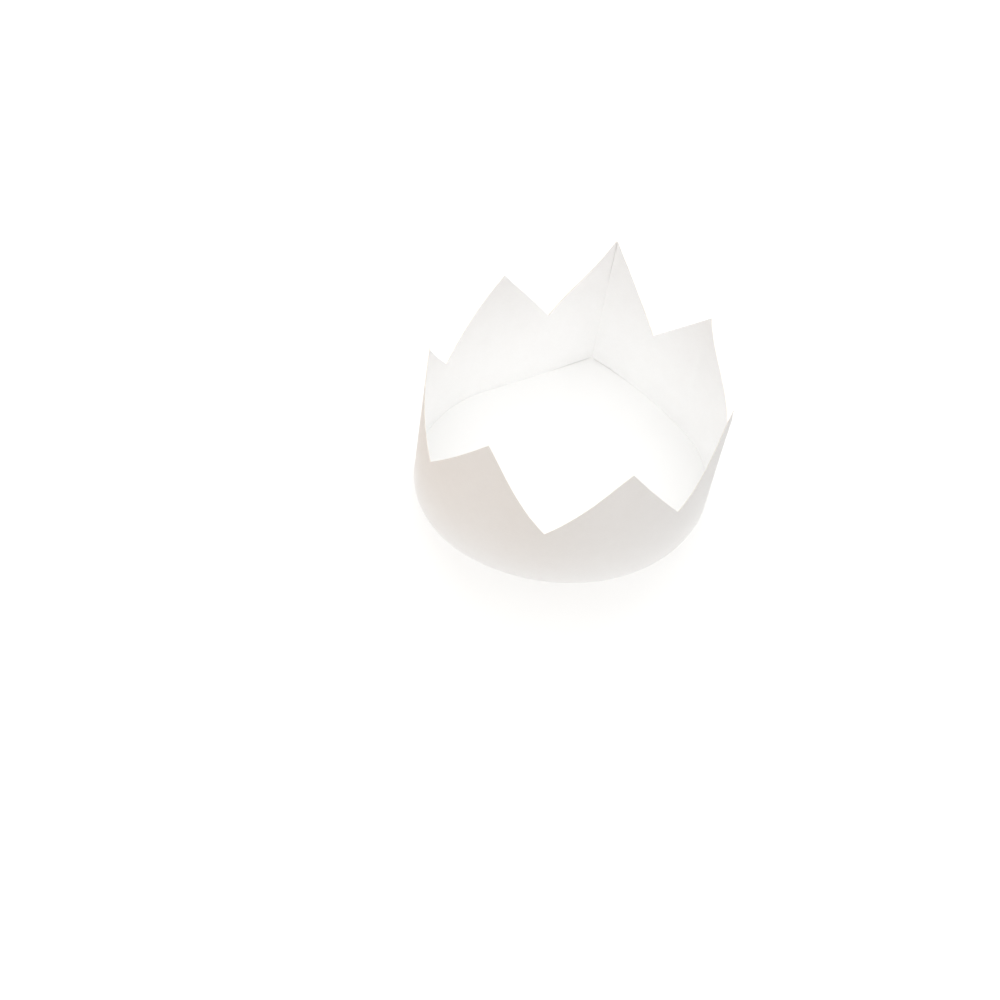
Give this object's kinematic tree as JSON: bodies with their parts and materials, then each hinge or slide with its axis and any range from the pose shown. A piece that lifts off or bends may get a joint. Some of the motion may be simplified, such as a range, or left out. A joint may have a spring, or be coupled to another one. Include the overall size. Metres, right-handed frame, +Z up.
{
  "type": "paper crown",
  "caption": "Zigzag crown of plain white card: a toothed strip bent to a ring and hooked into itself through slits at the back.",
  "frame": {"origin": "centre of the crown's bounding box in plan, at the height of the base edge that it stands on", "axes": "+Z up towards the teeth; +Y towards the slit joint, which is the sharp corner at the back; +X to the right seen from the front"},
  "size_m": [0.173, 0.1712, 0.1],
  "materials": {
    "white_card": "matte uncoated card"
  },
  "bodies": {
    "root": {"crown_band": "white_card"}
  },
  "joints": []
}
